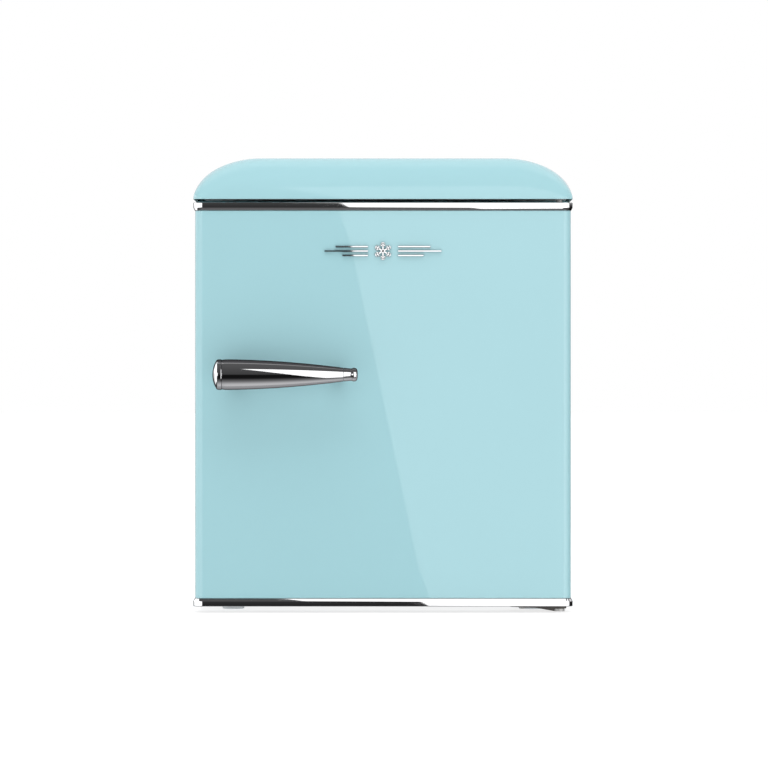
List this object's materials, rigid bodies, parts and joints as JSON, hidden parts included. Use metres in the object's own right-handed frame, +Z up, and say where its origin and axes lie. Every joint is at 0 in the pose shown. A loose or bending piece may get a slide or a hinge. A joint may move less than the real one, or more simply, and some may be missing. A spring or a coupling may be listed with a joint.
{
  "type": "mini fridge",
  "caption": "Retro table-top refrigerator: domed cap, chrome trims, tapered bar handle, hinged door with two bins, glass shelf, ice box with flap, drip tray, thermostat and rear compressor bay.",
  "frame": {"origin": "on the floor, in the middle of the overall width and depth", "axes": "+Z up; -Y towards the front, where the door and its handle are; +X towards the hinge side"},
  "size_m": [0.4444, 0.5242, 0.5335],
  "materials": {
    "mint_enamel": "gloss",
    "chrome": "polished",
    "zinc_steel": "satin",
    "white_liner": "gloss",
    "grey_plastic": "satin",
    "black_plastic": "matte",
    "clear_plastic": "gloss",
    "shelf_glass": "polished",
    "seal_rubber": "matte",
    "mount_rubber": "matte",
    "urethane_foam": "matte",
    "aluminium_sheet": "satin",
    "copper_pipe": "satin",
    "black_steel": "satin"
  },
  "bodies": {
    "cabinet": {"cabinet_shell": "mint_enamel", "top_cap": "mint_enamel", "back_panel": "zinc_steel", "bottom_plate": "zinc_steel", "bay_panel": "zinc_steel", "compressor_base": "zinc_steel", "insulation_foam": "urethane_foam", "inner_liner": "white_liner", "shelf_front_trim": "white_liner", "thermostat_housing": "white_liner", "cap_soffit": "grey_plastic", "ice_box_frame": "grey_plastic", "hinge_top_bracket": "zinc_steel", "hinge_top_pin": "zinc_steel", "hinge_top_screw_1": "zinc_steel", "hinge_top_screw_2": "zinc_steel", "hinge_bottom_bracket": "black_steel", "hinge_bottom_pin": "zinc_steel", "hinge_bottom_screw_1": "zinc_steel", "hinge_bottom_screw_2": "zinc_steel", "foot_rear_left": "grey_plastic", "foot_rear_right": "grey_plastic", "compressor": "black_steel", "terminal_cover": "black_plastic", "compressor_grommet_1": "mount_rubber", "compressor_grommet_2": "mount_rubber", "compressor_grommet_3": "mount_rubber", "compressor_grommet_4": "mount_rubber", "condenser_tube": "black_steel", "discharge_pipe": "copper_pipe", "suction_pipe": "copper_pipe", "capillary_tube": "copper_pipe", "filter_drier": "copper_pipe", "cord_gland": "black_plastic", "evaporator": "aluminium_sheet", "thermostat_switch": "zinc_steel", "shelf_glass": "shelf_glass"},
    "door": {"door_skin": "mint_enamel", "door_foam": "urethane_foam", "door_liner": "white_liner", "door_gasket": "seal_rubber", "door_trim_top": "chrome", "door_trim_bottom": "chrome", "hinge_bush_top": "black_plastic", "hinge_bush_bottom": "black_plastic", "door_bin_upper": "clear_plastic", "door_bin_lower": "clear_plastic", "handle_bar": "chrome", "handle_end_cap": "chrome", "handle_tip": "chrome", "handle_post_left": "chrome", "handle_post_right": "chrome", "handle_screw_left": "zinc_steel", "handle_screw_right": "zinc_steel", "badge": "chrome"},
    "flap": {"ice_box_flap": "clear_plastic"},
    "tray": {"drip_tray": "clear_plastic"},
    "knob": {"thermostat_knob": "white_liner"},
    "left_foot": {"foot_front_left": "grey_plastic"},
    "right_foot": {"foot_front_right": "grey_plastic"}
  },
  "joints": [
    {"name": "door_hinge", "type": "hinge", "parent": "cabinet", "child": "door", "pos_m": [0.207, -0.18235, 0.24], "axis": [0, 0, 1], "range_deg": [0, 120]},
    {"name": "flap_hinge", "type": "hinge", "parent": "cabinet", "child": "flap", "pos_m": [-0.056, -0.04205, 0.3555], "axis": [1, 0, 0], "range_deg": [0, 90]},
    {"name": "tray_slide", "type": "slide", "parent": "cabinet", "child": "tray", "axis": [0, -1, 0], "range_m": [0, 0.085]},
    {"name": "knob_turn", "type": "hinge", "parent": "cabinet", "child": "knob", "pos_m": [0.125, -0.04045, 0.4187], "axis": [0, -1, 0], "range_deg": [-135, 135]},
    {"name": "left_foot_travel", "type": "slide", "parent": "cabinet", "child": "left_foot", "axis": [0, 0, -1], "range_m": [0, 0.01]},
    {"name": "right_foot_travel", "type": "slide", "parent": "cabinet", "child": "right_foot", "axis": [0, 0, -1], "range_m": [0, 0.01]}
  ]
}
